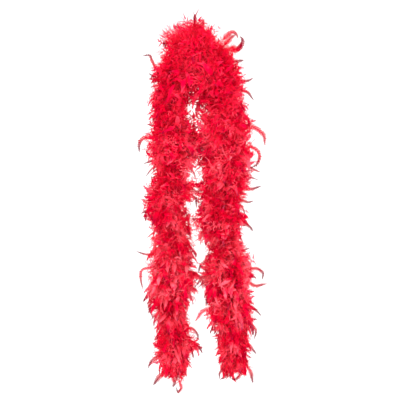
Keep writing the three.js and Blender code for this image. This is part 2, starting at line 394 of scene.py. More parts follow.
class Finish(NodeMaker):
    """A material in the making."""

    def __init__(self, name):
        self.material = bpy.data.materials.new(name)
        self.material.use_nodes = True
        super().__init__(self.material.node_tree)
        self.tree.nodes.clear()
        self.end = self.node("ShaderNodeOutputMaterial")
        self.skin = self.node("ShaderNodeBsdfPrincipled")
        self.put(self.skin.outputs[0], self.end.inputs["Surface"])

    def attribute(self, name):
        return self.out("ShaderNodeAttribute", output="Fac", attribute_name=name)

    def place(self):
        return self.out("ShaderNodeTexCoord", output="Object")

    def mapped(self, uv_name, **inputs):
        """The UV map, turned and stretched."""
        uv = self.out("ShaderNodeUVMap", uv_map=uv_name)
        return self.out("ShaderNodeMapping", {"Vector": uv, **inputs})

    def noise(self, vector, scale, detail=2.0, **settings):
        inputs = {"Vector": vector, "Scale": scale, "Detail": detail}
        return self.out("ShaderNodeTexNoise", inputs, "Fac", **settings)

    def ramp(self, share, *stops):
        n = self.node("ShaderNodeValToRGB", {0: share})
        while len(n.color_ramp.elements) < len(stops):
            n.color_ramp.elements.new(0.5)
        for e, (at, colour) in zip(n.color_ramp.elements, stops):
            e.position = at
            e.color = (*colour, 1)
        return n.outputs[0]

    def mix(self, share, a, b, blend="MIX"):
        return self.out("ShaderNodeMix", {0: share, 6: a, 7: b}, data_type="RGBA", blend_type=blend)

    def bump(self, height, strength, distance):
        n = self.out("ShaderNodeBump", {"Strength": strength, "Distance": distance, "Height": height})
        self.fill(self.skin, {"Normal": n})

    def let_light_through(self, colour, share):
        thin = self.out("ShaderNodeBsdfTranslucent", {"Color": colour})
        mixed = self.out("ShaderNodeMixShader", {0: share, 1: self.skin.outputs[0], 2: thin})
        self.fill(self.end, {"Surface": mixed})

    def soft_skin(self, colour, roughness, specular):
        """The bloom of a dyed feather."""
        self.fill(self.skin, {"Base Color": colour, "Roughness": roughness, "Specular IOR Level": specular,
                              "Sheen Weight": 0.08, "Sheen Roughness": 0.45, "Sheen Tint": (1.0, 0.0, 0.12)})


def feather_dye_and_painted_light(m):
    """Deep crimson near the roots in the heart of the boa, brighter outside: painted shade deep in the
    fluff, partly darker-dyed roots. Coral strands towards the outer ends, more of them below: partly their
    own random colour, partly painted highlight.
    """
    depth = m.attribute("depth")
    # Darker near the feathers' roots: painted shade deep in the fluff, partly darker-dyed roots
    red = m.ramp(depth, (0.0, (0.72, 0.0, 0.018)), (0.4, (0.83, 0.0, 0.037)), (0.75, (0.87, 0.0, 0.050)),
                 (1.0, (0.89, 0.001, 0.062)))
    place = m.place()
    patches = m.noise(place, 25, 1.5)
    red = m.mix(1.0, red, m.ramp(patches, (0.36, (0.90, 0.6, 0.68)), (0.6, WHITE)), "MULTIPLY")
    height = m.out("ShaderNodeSeparateXYZ", {0: place}, 2)
    lower = m.out("ShaderNodeMapRange", {0: height, 1: -0.05, 2: -0.6, 3: 0.1, 4: 1.1})
    mixed = m.maths("MULTIPLY_ADD", m.attribute("tint"), 0.25, m.times(m.attribute("strand"), 0.4))
    mixed = m.maths("MULTIPLY_ADD", m.ramp(patches, (0.38, BLACK), (0.62, WHITE)), 0.4, mixed)
    # Coral towards the outer ends: painted highlight on the strands, partly their own random colour
    paler = m.times(m.ramp(mixed, (0.48, BLACK), (0.72, WHITE)), lower)
    return m.mix(m.times(paler, m.maths("POWER", depth, 1.6)), red, (0.94, 0.15, 0.20))


def vane_material():
    """Dyed feather vane with painted shade deep in the fluff and painted highlights on its outer strands:
    darkens to the tip, streaked along its barbs.
    """
    m = Finish("dyed_vane")
    streaks = m.noise(m.mapped("barbs", Scale=(1.5, 90, 1)), 1.0, 1.0, noise_dimensions="2D")
    tips = m.ramp(m.attribute("along"), (0.0, WHITE), (0.66, WHITE), (0.86, (0.55, 0.45, 0.6)),
                  (1.0, (0.22, 0.3, 0.5)))
    dark_tipped = m.ramp(m.attribute("tint"), (0.2, WHITE), (0.45, (0.15, 0.15, 0.15)))
    # The red brings painted shade deep in the fluff and painted highlights on the outer strands
    dyed = m.mix(dark_tipped, feather_dye_and_painted_light(m), tips, "MULTIPLY")
    colour = m.mix(1.0, dyed, m.ramp(streaks, (0.35, (0.86, 0.7, 0.74)), (0.65, WHITE)), "MULTIPLY")
    m.soft_skin(colour, 0.5, 0.015)
    m.bump(streaks, 0.35, 0.0004)
    m.let_light_through(colour, 0.38)
    return m.material


def down_material():
    """Downy barbs: soft red with painted shade deep in the fluff and painted highlights, paling towards the
    hair-thin ends as painted light glowing through them.
    """
    m = Finish("dyed_down")
    # Paler hair-thin outer ends: painted light glowing through them
    pale = m.times(m.maths("POWER", m.attribute("edge"), 2.0), m.times(m.attribute("depth"), 0.26))
    colour = m.mix(pale, feather_dye_and_painted_light(m), (0.95, 0.16, 0.2))
    m.soft_skin(colour, 0.7, 0.0)
    m.let_light_through(colour, 0.42)
    return m.material


def quill_material():
    """The feather's shaft: paler where the dye took less, darker to the tip."""
    m = Finish("dyed_quill")
    shaft = m.ramp(m.attribute("along"), (0.0, (0.85, 0.20, 0.22)), (0.4, (0.75, 0.05, 0.09)),
                   (0.75, (0.18, 0.008, 0.018)), (1.0, (0.05, 0.004, 0.008)))
    colour = m.mix(m.times(m.attribute("tint"), 0.4), shaft, (0.30, 0.01, 0.02))
    m.fill(m.skin, {"Base Color": colour, "Roughness": 0.35})
    return m.material


def spun_material(name, uv_name, darkest, palest, roughness, stretch, bump_depth):
    """Spun yarn: fibres that run slantwise along it, with fuzz and uneven dye."""
    m = Finish(name)
    fibres = m.noise(m.mapped(uv_name, Rotation=(0, 0, 0.6), Scale=stretch), 6, 4)
    dyed = m.ramp(fibres, (0.3, darkest), (0.7, palest))
    uneven = m.ramp(m.noise(m.place(), 60), (0.35, (0.8, 0.8, 0.8)), (0.65, WHITE))
    m.fill(m.skin, {"Base Color": m.mix(1.0, dyed, uneven, "MULTIPLY"), "Roughness": roughness,
                    "Sheen Weight": 0.3, "Sheen Tint": (1.0, 0.3, 0.4)})
    m.bump(fibres, 0.5, bump_depth)
    return m.material


VANE = vane_material()
DOWN = down_material()
QUILL = quill_material()
# Twisted cotton, and sewing thread that is tighter and a little shinier
CORD = spun_material("dyed_cotton_cord", "along_cord", (0.30, 0.004, 0.014), (0.58, 0.015, 0.035),
                     0.9, (3, 1.2, 1), 0.0003)
THREAD = spun_material("dyed_thread", "along_thread", (0.38, 0.003, 0.014), (0.66, 0.012, 0.032),
                       0.55, (2, 6, 1), 0.0001)


# ---------------------------------------------------------------- cord, binding and ends

def cross_axes(distance):
    """Two directions across the cord there."""
    tangent = Vector(tangent_at(distance))
    side = tangent.cross(Vector((0, 1, 0))).normalized()
    return side, tangent.cross(side)


def spoke(a, b, turn):
    """The direction that far round from a towards b."""
    return a * math.cos(turn) + b * math.sin(turn)


def helix(start, end, radius, pitch, phase, step):
    """Points on a helix round the cord. Its turn depends only on the distance, so that neighbours meet."""
    points = []
    for distance in np.linspace(start, end, max(2, round(abs(end - start) / step) + 1)):
        turn = 2 * math.pi * distance / pitch + phase
        points.append(Vector(point_at(distance)) + spoke(*cross_axes(distance), turn) * radius)
    return points


def add_tube(bm, points, radii, sides, uv_name="along_cord"):
    """A closed tube along the points, with a UV map that runs round and along it."""
    uv = bm.loops.layers.uv.get(uv_name) or bm.loops.layers.uv.new(uv_name)
    turns = [2 * math.pi * k / sides for k in range(sides)]
    rings, across = [], None
    run = 0.0
    for i, p in enumerate(points):
        heading = (points[min(i + 1, len(points) - 1)] - points[max(i - 1, 0)]).normalized()
        across = heading.orthogonal() if across is None else across - heading * across.dot(heading)
        across.normalize()
        other = heading.cross(across)
        run += (p - points[i - 1]).length if i else 0
        radius = radii[i] if hasattr(radii, "__len__") else radii
        rings.append((run, [bm.verts.new(p + spoke(across, other, t) * radius) for t in turns]))
    for (low, lower), (high, upper) in zip(rings, rings[1:]):
        for k in range(sides):
            n = (k + 1) % sides
            face = bm.faces.new((lower[k], lower[n], upper[n], upper[k]))
            face.smooth = True
            for loop, at in zip(face.loops, ((k, low), (k + 1, low), (k + 1, high), (k, high))):
                loop[uv].uv = (at[0] / sides, at[1] * 100)
    bm.faces.new(list(reversed(rings[0][1])))
    bm.faces.new(rings[-1][1])


def finish_piece(name, bm, material):
    mesh = bpy.data.meshes.new(name)
    bm.normal_update()
    bm.to_mesh(mesh)
    bm.free()
    mesh.materials.append(material)
    return link_in(bpy.data.objects.new(name, mesh))


def add_rope(name, start, end):
    """Three plies twisted together."""
    bm = bmesh.new()
    for ply in range(3):
        line = helix(start, end, PLY_OFFSET, TWIST_PITCH, 2 * math.pi * ply / 3, PLY_STEP)
        add_tube(bm, line, PLY_RADIUS, 8)
    return finish_piece(name, bm, CORD)


def add_thread(name, points):
    bm = bmesh.new()
    add_tube(bm, points, THREAD_RADIUS, 5, uv_name="along_thread")
    return finish_piece(name, bm, THREAD)


def middle_of(body):
    return sum(SPANS[body]) / 2


def add_cords():
    """The cord, in pieces from the middle of one length to the next, across the hinge between."""
    for side, away in (("left", -1), ("right", 1)):
        upper = "crown"
        for i in range(1, LENGTHS_PER_LEG + 1):
            lower = f"{side}_{i}"
            last = i == LENGTHS_PER_LEG
            hinge = SPANS[lower][0]
            start = middle_of(upper)
            end = SPANS[lower][1] if last else middle_of(lower)
            piece = add_rope(f"rope_{lower}", start, end)
            point_at(hinge - away * BEND_REACH)
            point_at(hinge + away * BEND_REACH)
            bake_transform(piece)
            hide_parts(f"cord_{lower}", *(["cord_crown"] if upper == "crown" else []))
            path = [tuple(point_at(d)) for d in np.linspace(start, end, 40)]
            upper = lower


def add_binding(body):
    """Binding thread: a few tight turns round the quills at each bunch, and long open turns between."""
    start, end = SPANS[body]
    sign = 1 if end > start else -1
    points = []
    turn = 0.0
    for run in np.arange(abs(end - start) - 2 * BINDING_MARGIN, 0, -BINDING_STEP)[::-1]:
        distance = start + sign * (BINDING_MARGIN + run)
        tight = abs(run / BUNCH_PITCH % 1 - 0.5) < TIGHT_SHARE / 2
        turn += 2 * math.pi * BINDING_STEP / (TIGHT_PITCH if tight else OPEN_PITCH)
        points.append(Vector(point_at(distance)) + spoke(*cross_axes(distance), turn) * WRAP_RADIUS)
    piece = add_thread(f"binding_{body}", points)
    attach(piece, body)
    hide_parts(*cad_nodes(body, "thread_"))


def add_whipping(side, end, inward):
    """Close turns of thread round the last of the cord."""
    start = end + inward * WHIPPING_SETBACK
    points = helix(start, start + inward * WHIPPING_LENGTH,
                   CORD_RADIUS + THREAD_RADIUS, 2 * THREAD_RADIUS, 0, WHIPPING_STEP)
    piece = add_thread(f"whipped_end_{side}", points)
    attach(piece, f"{side}_{LENGTHS_PER_LEG}")
    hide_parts(f"whipping_{side}")


def add_knot(side, end, outward):
    """A stop knot below the cord's end, and its tail frayed into strands."""
    rng = random.Random(side)
    down = Vector(tangent_at(end)) * outward
    a, b = cross_axes(end)
    middle = Vector(point_at(end)) + down * KNOT_GAP + down * KNOT_HEIGHT / 2
    bm = bmesh.new()
    turns = []
    for i in range(KNOT_STEPS + 1):
        t = 2 * math.pi * i / KNOT_STEPS
        x, y, z = math.sin(t) + 2 * math.sin(2 * t), math.cos(t) - 2 * math.cos(2 * t), -math.sin(3 * t)
        turns.append(middle + (a * x + b * y) * KNOT_SPREAD + down * z * KNOT_RISE)
    add_tube(bm, turns, KNOT_CORD_RADIUS, 8)
    foot = middle + down * KNOT_HEIGHT * 0.4
    for k in range(TAIL_STRANDS):
        flare = TAIL_FLARE * math.sqrt((k + 0.5) / TAIL_STRANDS)
        way = spoke(a, b, GOLDEN_TURN * k)
        reach = TAIL_LENGTH * rng.uniform(0.8, 1.0)
        strand = []
        for u in (0, 0.2, 0.4, 0.6, 0.8, 1):
            strand.append(foot + way * flare * (0.3 + 0.7 * u ** 1.5) + down * reach * u)
        add_tube(bm, strand, [STRAND_RADIUS * (1 - 0.6 * u / 5) for u in range(6)], 4)
    piece = finish_piece(f"stop_knot_{side}", bm, CORD)
    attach(piece, f"{side}_{LENGTHS_PER_LEG}")
    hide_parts(f"knot_{side}")


add_cords()
for body in SPANS:
    add_binding(body)
for side, end, outward in (("left", 0.0, -1), ("right", TOTAL, 1)):
    add_whipping(side, end, -outward)
    add_knot(side, end, outward)


# ---------------------------------------------------------------- feather shapes

class Drawing:
    """A mesh in the making. Each point knows how far along the feather and how far out on its barb it is."""

    def __init__(self):
        self.points, self.faces, self.uvs, self.along, self.edge = [], [], [], [], []
        self.quill, self.strand, self.shade = [], [], 0.5

    def point(self, at, along, edge, root):
        self.points.append(tuple(at))
        self.along.append(along)
        self.edge.append(edge)
        self.uvs.append((edge, root))
        self.strand.append(self.shade)
        return len(self.points) - 1

    def face(self, *corners, quill=False):
        self.faces.append(corners)
        self.quill.append(quill)

    def barb(self, line, width, normal, along, root):
        """A ribbon of a few steps that narrows to a point."""
        last = None
        for i, p in enumerate(line[:-1]):
            share = i / (len(line) - 1)
            heading = (line[i + 1] - p).normalized()
            across = heading.cross(normal).normalized() * width * (1 - 0.35 * share) / 2
            pair = [self.point(at, along(share), share, root) for at in (p - across, p + across)]
            if last:
                self.face(last[0], last[1], pair[1], pair[0])
            last = pair
        self.face(*last, self.point(line[-1], along(1.0), 1, root))

    def shaft(self, line, radii, along):
        """A three-sided shaft with closed ends."""
        rings = []
        for i, p in enumerate(line):
            heading = (line[min(i + 1, len(line) - 1)] - line[max(i - 1, 0)]).normalized()
            a = heading.orthogonal().normalized()
            b = heading.cross(a)
            ring = [p + spoke(a, b, 2 * math.pi * k / 3) * radii[i] for k in range(3)]
            rings.append([self.point(at, along[i], 0, along[i]) for at in ring])
        for lower, upper in zip(rings, rings[1:]):
            for k in range(3):
                n = (k + 1) % 3
                self.face(lower[k], lower[n], upper[n], upper[k], quill=True)
        self.face(*reversed(rings[0]), quill=True)
        self.face(*rings[-1], quill=True)

    def finish(self, name, dye=()):
        """The mesh as an object. A feather set one by one brings its own tint and depth, as attributes: its
        dye, and how much painted shade and painted highlight it gets.
        """
        mesh = bpy.data.meshes.new(name)
        mesh.from_pydata(self.points, [], self.faces)
        uv = mesh.uv_layers.new(name="barbs")
        for loop in mesh.loops:
            uv.data[loop.index].uv = self.uvs[loop.vertex_index]
        for key, values in (("along", self.along), ("edge", self.edge), ("strand", self.strand), *dye):
            mesh.attributes.new(key, "FLOAT", "POINT").data.foreach_set("value", values)
        mesh.attributes.new("quill", "BOOLEAN", "FACE").data.foreach_set("value", self.quill)
        mesh.update()
        return bpy.data.objects.new(name, mesh)


class Shaft:
    """A feather's middle line, with the direction across its vane."""

    def __init__(self, line, twist=0.0, facing=None):
        self.line = [Vector(p) for p in line]
        self.length = sum((b - a).length for a, b in zip(self.line, self.line[1:]))
        self.twist, self.facing = twist, facing

    def at(self, t):
        f = min(max(t, 0), 1) * (len(self.line) - 1)
        i = min(int(f), len(self.line) - 2)
        return self.line[i].lerp(self.line[i + 1], f - i)

    def frame(self, t):
        """The point there, the heading, the direction across the vane and the one out of its face."""
        heading = (self.at(t + 0.03) - self.at(t - 0.03)).normalized()
        across = heading.cross(self.facing) if self.facing else Vector((0, 1, 0))
        across = Matrix.Rotation(self.twist * t, 3, heading) @ across
        across = (across - heading * across.dot(heading)).normalized()
        return self.at(t), heading, across, heading.cross(across)


def curled_shaft(curl, power, sway, twist=0.0, steps=40):
    """A shaft one unit long that starts along +Z and curls over towards +X, with a little sideways sway."""
    at, line = Vector((0, 0, 0)), []
    for i in range(steps + 1):
        t = i / steps
        bend, lean = curl * t ** power, sway * math.sin(math.pi * t)
        line.append(at.copy())
        at += Vector((math.sin(bend), lean, math.cos(bend))).normalized() / steps
    return Shaft(line, twist=twist)


def vane_width(u):
    """Half the vane's width from its start, 0, to its tip, 1."""
    return math.sin(math.pi * u ** 0.75) ** 0.8


def draw_quill(d, shaft, radius, steps=5, taper=0.85, bare_from=0.0):
    """The shaft. One that is bare from a share of its length on is coloured like that outer part."""
    d.shade = 0.5
    shares = [i / steps for i in range(steps + 1)]
    d.shaft([shaft.at(t) for t in shares], [radius * (1 - taper * i / steps) for i in range(steps + 1)],
            [bare_from + (1 - bare_from) * t for t in shares])


def draw_vane(d, rng, shaft, width, vane_from, panels=7):
    """The vane: slanted panels of barbs on both sides, ragged at the edge and folded down the middle."""
    for side in (-1, 1):
        for k in range(panels):
            d.shade = rng.uniform(0.3, 0.7)
            inner, outer = [], []
            ragged = width * rng.uniform(0.78, 1.12)
            for step, pull in ((k, 0.012), (k + 1, -0.006)):
                u = step / panels
                t = vane_from + (1 - vane_from) * u
                base, heading, across, up = shaft.frame(t)
                w = ragged * vane_width(0.08 + 0.9 * u)
                tip = base + heading * (w * 0.8 + pull * shaft.length) + across * side * w - up * w * 0.35
                inner.append(d.point(base, t, 0, t))
                outer.append(d.point(tip, min(t + w / shaft.length, 1), 1, t))
            d.face(inner[0], inner[1], outer[1], outer[0])


def draw_curl(name, rng, shaft, width, vane_from):
    """A small curled feather: a thin shaft, and a narrow vane on its outer half."""
    d = Drawing()
    draw_quill(d, shaft, 0.005, steps=3)
    draw_vane(d, rng, shaft, width, vane_from, panels=5)
    return d.finish(name)


def curled_barb(d, rng, base, heading, normal, reach, width, bend, along, root, steps=3):
    """A ribbon that starts along heading and curls round by that angle, to a point."""
    axis = Vector([rng.uniform(-1, 1) for _ in range(3)]).cross(heading).normalized()
    points, way = [base], heading.normalized()
    for k in range(steps):
        points.append(points[-1] + way * reach / steps)
        way = Matrix.Rotation(bend / steps * (0.5 + k), 3, axis) @ way
    d.shade = rng.random()
    d.barb(points, width, normal, along, root)


def draw_loose_barbs(d, rng, shaft, width, until, count):
    """Downy barbs on both sides of the shaft's foot."""
    for side in (-1, 1):
        for k in range(count):
            t = 0.1 + (until - 0.1) * (k + rng.uniform(0, 0.8)) / count
            base, heading, across, up = shaft.frame(t)
            way = heading * rng.uniform(0.2, 0.9) + across * side + up * rng.uniform(-0.8, 0.8)
            curled_barb(d, rng, base, way, up, rng.uniform(0.2, 0.32) * shaft.length, width,
                        rng.uniform(0.8, 2.2), lambda share, t=t: t + 0.1 * share, t)


def draw_vane_feather(name, rng, shaft, width, vane_from, loose=6):
    """A pointed feather: a quill, a vane, and loose downy barbs at its foot."""
    d = Drawing()
    draw_quill(d, shaft, 0.0075 * shaft.length)
    draw_vane(d, rng, shaft, width * shaft.length, vane_from)
    draw_loose_barbs(d, rng, shaft, 0.015 * shaft.length, vane_from + 0.1, loose)
    return d.finish(name)


def draw_plume(name, rng, shaft, barbs=22):
    """A soft plume: a bushy head of barbs that have come apart into curly strands, every other one broad."""
    d = Drawing()
    draw_quill(d, shaft, 0.006, steps=3)
    for k in range(barbs):
        width, steps = (0.015, 2) if k % 2 else (0.040, 3)
        t = 0.2 + 0.79 * (k + rng.uniform(0, 0.7)) / barbs
        base, heading, across, _ = shaft.frame(t)
        across = Matrix.Rotation(rng.uniform(0, 2 * math.pi), 3, heading) @ across
        curled_barb(d, rng, base, heading * rng.uniform(0.1, 1.0) + across, heading.cross(across),
                    rng.uniform(0.24, 0.40) * (1 - 0.25 * t), width, rng.uniform(1.0, 3.0),
                    lambda share, t=t: min(t + 0.2 * share, 1), t, steps)
    return d.finish(name)


def draw_tuft(name, rng, hairs=14):
    """A tuft of down: hair-thin barbs that spread from one point."""
    d = Drawing()
    for k in range(hairs):
        turn = 2 * math.pi * (k * 0.618 % 1)
        spread = rng.uniform(0.1, 0.8)
        out = Vector((math.cos(turn) * spread, math.sin(turn) * spread, 1))
        curled_barb(d, rng, Vector((0, 0, 0)), out, out.orthogonal().normalized(), rng.uniform(0.7, 1.1),
                    0.012, rng.uniform(0.3, 1.4), lambda share: share, k / hairs)
    return d.finish(name)


def draw_bare_shaft(name):
    """A shaft whose barbs have worn off."""
    d = Drawing()
    draw_quill(d, curled_shaft(0.8, 1.5, 0.2), 0.007, steps=6, taper=0.8, bare_from=0.6)
    return d.finish(name)


def shapes(name, seed, draw, kinds, **settings):
    """A collection of feathers, one of each kind."""
    rng = random.Random(seed)
    group = bpy.data.collections.new(f"{name}_shapes")
    for i, kind in enumerate(kinds):
        group.objects.link(draw(f"{name}_{i}", rng, *kind, **settings))
    return group


def curled(*kinds):
    """Each kind's shaft, from its curl, how late that comes, its sway and twist, and the numbers left."""
    return [(curled_shaft(*k[:4]), *k[4:]) for k in kinds]


# Curl and how late it comes, sway, twist, then half width and where the vane starts
VANE_SHAPES = shapes("vane", 11, draw_vane_feather, curled(
    (0.9, 1.5, 0.3, 0.8, 0.085, 0.32), (1.8, 1.6, -0.45, -1.2, 0.08, 0.36), (2.8, 1.8, 0.4, 1.2, 0.07, 0.4),
    (4, 2.4, -0.3, -0.8, 0.062, 0.38), (-1.6, 1.8, 0.45, 1.4, 0.078, 0.34), (2.2, 1.2, 0.6, 1.8, 0.06, 0.42),
    (-3.2, 2.6, -0.5, -1, 0.066, 0.36)))
VANE_SHAPES.objects.link(draw_bare_shaft("vane_stem"))
LEAF_SHAPES = shapes("leaf", 15, draw_vane_feather, curled(
    (0.5, 1.5, 0.2, 0.5, 0.112, 0.25), (1.2, 1.6, -0.3, -0.8, 0.106, 0.28), (1.9, 1.9, 0.3, 0.9, 0.1, 0.3),
    (-0.9, 1.6, 0.35, 0.7, 0.108, 0.26), (-2.4, 2.4, -0.3, -0.6, 0.094, 0.3)), loose=3)
CURL_SHAPES = shapes("curl", 14, draw_curl, curled(
    (1.6, 1.2, 0.5, 1.0, 0.08, 0.4), (2.6, 1.5, -0.6, -1.6, 0.072, 0.45), (3.8, 1.8, 0.5, 1.4, 0.062, 0.42),
    (-2, 1.4, 0.7, 2, 0.076, 0.45), (-3.4, 2, -0.6, -1.2, 0.064, 0.4), (4.8, 2.4, 0.3, 0.8, 0.058, 0.42),
    (0.8, 1.3, -0.9, 2.4, 0.074, 0.45)))
PLUME_SHAPES = shapes("plume", 12, draw_plume, curled(
    (0.7, 1.3, 0.2), (1.5, 1.6, -0.4), (-0.9, 1.4, 0.3), (2.1, 2.0, 0.45), (0.3, 1.2, -0.5)))
TUFT_SHAPES = shapes("tuft", 13, draw_tuft, [()] * 4)


# ---------------------------------------------------------------- feathers set along the cord

TREE_INPUTS = {
    "Count": 100, "Bunch": 10, "Seed": 1, "Shortest": 0.8, "Longest": 1.1, "Lean": 0.0, "Spread": 0.4,
    "Splay": 0.8, "Tilt": 0.4, "Gather": 0.01, "Roll": 0.6, "Droop": 0.01, "Start Radius": 0.003,
    "Depth Scale": 0.06,
}


class TreeMaker(NodeMaker):
    """Short words for the nodes of a geometry tree."""

    def __init__(self, name):
        super().__init__(bpy.data.node_groups.new(name, "GeometryNodeTree"))

    def socket(self, name, kind, value=None, in_out="INPUT"):
        made = self.tree.interface.new_socket(name, in_out=in_out, socket_type="NodeSocket" + kind)
        if value is not None:
            made.default_value = value

    def vector(self, operation, a, b):
        return self.out("ShaderNodeVectorMath", {0: a, 1: b}, operation=operation)

    def scaled(self, vector, by):
        return self.out("ShaderNodeVectorMath", {0: vector, "Scale": by}, operation="SCALE")

    def combined(self, x=0.0, y=0.0, z=0.0):
        return self.out("ShaderNodeCombineXYZ", {0: x, 1: y, 2: z})

    def position(self):
        return self.out("GeometryNodeInputPosition")

    def blend(self, share, a, b):
        return self.out("ShaderNodeMix", {0: share, 2: a, 3: b})

    def between(self, low, high, salt, kind="FLOAT", **one_for):
        """A random value for each feather, or for each of what ID numbers."""
        seed = self.plus(self.given["Seed"], salt * 101)
        inputs = {"Min": low, "Max": high, "Seed": seed, **one_for}
        return self.out("FunctionNodeRandomValue", inputs, data_type=kind)

    def named(self, name, kind="FLOAT"):
        return self.out("GeometryNodeInputNamedAttribute", {"Name": name}, data_type=kind)

    def stored(self, geometry, name, value, domain, kind="FLOAT"):
        inputs = {"Geometry": geometry, "Name": name, "Value": value}
        return self.out("GeometryNodeStoreNamedAttribute", inputs, data_type=kind, domain=domain)

    def turn(self, axis, angle):
        return self.out("FunctionNodeAxisAngleToRotation", {"Axis": axis, "Angle": angle})

    def moved(self, geometry, offset):
        return self.out("GeometryNodeSetPosition", {"Geometry": geometry, "Offset": offset})

    def painted(self, geometry, material, selection=True):
        inputs = {"Geometry": geometry, "Selection": selection, "Material": material}
        return self.out("GeometryNodeSetMaterial", inputs)


def feather_tree():
    """Sets bunches of feathers round the cord. Each has its own angle, lean, roll and length, and droops."""
    t = TreeMaker("feathers_along_cord")
    t.socket("Line", "Geometry")
    t.socket("Shapes", "Collection")
    for name, value in TREE_INPUTS.items():
        t.socket(name, "Int" if isinstance(value, int) else "Float", value)
    t.socket("Finish", "Material")
    t.socket("Quill Finish", "Material")
    t.socket("Feathers", "Geometry", in_out="OUTPUT")
    given = t.given = t.node("NodeGroupInput").outputs

    curve = t.out("GeometryNodeMeshToCurve", {"Mesh": given["Line"]})
    spots = t.node("GeometryNodeCurveToPoints", {"Curve": curve, "Count": given["Count"]}, mode="COUNT")
    points, tangent, normal = (spots.outputs[name] for name in ("Points", "Tangent", "Normal"))

    # Which bunch a feather is in, and where it is in it, from -0.5 to 0.5
    index = t.out("GeometryNodeInputIndex")
    bunch = t.maths("FLOOR", t.maths("DIVIDE", index, given["Bunch"]))
    place = t.maths("FRACT", t.maths("DIVIDE", t.plus(index, 0.5), given["Bunch"]))
    place = t.maths("SUBTRACT", place, 0.5)

    spin = t.turn(tangent, t.between(0.0, 2 * math.pi, 1))
    outward = t.out("FunctionNodeRotateVector", {"Vector": normal, "Rotation": spin})

    # The reach on that side of the cord
    facing = t.vector("DOT_PRODUCT", outward, t.named("outer", "FLOAT_VECTOR"))
    side = t.blend(t.maths("GREATER_THAN", facing, 0.0), t.named("reach_inner"), t.named("reach_outer"))
    reach = t.blend(t.times(facing, facing), t.named("reach_front"), side)
    size = t.times(reach, t.between(given["Shortest"], given["Longest"], 2))

    lean = t.plus(given["Lean"], t.times(place, given["Splay"]))
    lean = t.plus(lean, t.named("lean_here"))
    lean = t.plus(lean, t.times(t.between(-1.0, 1.0, 3), given["Spread"]))
    lean = t.plus(lean, t.between(-0.3, 0.3, 4, ID=bunch))
    along = t.scaled(tangent, t.maths("SINE", lean))
    heading = t.vector("ADD", t.scaled(outward, t.maths("COSINE", lean)), along)
    round_cord = t.vector("CROSS_PRODUCT", tangent, outward)
    heading = t.vector("ADD", heading, t.scaled(round_cord, t.times(t.between(-1.0, 1.0, 9), given["Tilt"])))
    pull = t.scaled(tangent, t.times(place, t.times(given["Gather"], -1.0)))
    rooted = t.moved(points, t.vector("ADD", t.scaled(outward, given["Start Radius"]), pull))

    aim = t.out("FunctionNodeAlignRotationToVector", {"Vector": heading}, axis="Z")
    face_down = t.out("FunctionNodeAlignRotationToVector", {"Rotation": aim, "Vector": tangent},
                      axis="X", pivot_axis="Z")
    roll = t.turn((0, 0, 1), t.times(t.between(-1.0, 1.0, 5), given["Roll"]))
    rolled = t.out("FunctionNodeRotateRotation", {"Rotation": face_down, "Rotate By": roll},
                   rotation_space="LOCAL")

    feathers = t.out("GeometryNodeCollectionInfo", {"Collection": given["Shapes"], "Separate Children": True,
                                                    "Reset Children": True}, transform_space="ORIGINAL")
    kept = t.out("GeometryNodeInstanceOnPoints", {
        "Points": rooted, "Instance": feathers, "Pick Instance": True, "Rotation": rolled,
        "Instance Index": t.between(0, 1000, 6, "INT"), "Scale": t.combined(size, size, size)})
    kept = t.stored(kept, "tint", t.between(0.0, 1.0, 7), "INSTANCE")
    kept = t.stored(kept, "limp", t.between(0.5, 1.5, 8), "INSTANCE")
    kept = t.stored(kept, "root", t.position(), "INSTANCE", "FLOAT_VECTOR")
    real = t.out("GeometryNodeRealizeInstances", {0: kept})
    away = t.vector("DISTANCE", t.position(), t.named("root", "FLOAT_VECTOR"))
    real = t.stored(real, "depth", t.maths("DIVIDE", away, given["Depth Scale"]), "POINT")

    fall = t.times(t.maths("POWER", t.named("along"), 2.0), t.named("limp"))
    real = t.moved(real, t.combined(z=t.times(fall, t.times(given["Droop"], -1.0))))
    axes = t.node("ShaderNodeSeparateXYZ", {0: t.position()}).outputs
    proud = t.maths("MAXIMUM", t.maths("SUBTRACT", t.maths("ABSOLUTE", axes[1]), FULL_DEPTH), 0.0)
    below = t.maths("MAXIMUM", t.maths("SUBTRACT", LOWEST, axes[2]), 0.0)
    inwards = t.times(t.maths("SIGN", axes[1]), -GIVE)
    real = t.moved(real, t.combined(y=t.times(proud, inwards), z=t.times(below, GIVE)))
    real = t.painted(real, given["Finish"])
    real = t.painted(real, given["Quill Finish"], t.named("quill", "BOOLEAN"))
    t.node("NodeGroupOutput", {0: real})
    return t.tree


FEATHERS = feather_tree()


# ---------------------------------------------------------------- each body's line of cord

def how_far_down(distance):
    """0 at the fold and 1 at the free end of a leg."""
    if distance < CROWN_FROM:
        return 1 - distance / CROWN_FROM
    return max(distance - CROWN_TO, 0) / (TOTAL - CROWN_TO)


def reach_at(distance):
    """The way out of the fold there, the reach of the fluff that way, inwards and forwards, and its lean."""
    if CROWN_FROM < distance < CROWN_TO:
        tangent = tangent_at(distance)
        table, out = CROWN_REACH, (-tangent[2], 0, tangent[0])
        at = (distance - CROWN_FROM) / (CROWN_TO - CROWN_FROM)
    else:
        table, out = (LEFT_REACH, (-1, 0, 0)) if distance <= CROWN_FROM else (RIGHT_REACH, (1, 0, 0))
        at = -point_at(distance)[2] + TIP_DROP + TIP_DROP_MORE * how_far_down(distance)
    columns = list(zip(*table))
    stations = [abs(x) for x in columns[0]]
    outer, inner, *lean = [np.interp(at, stations, column) for column in columns[1:]]
    front = min(max(outer * FRONT_SHARE, FRONT_LEAST), FRONT_MOST)
    return out, outer, inner, front, lean[0] if lean else 0


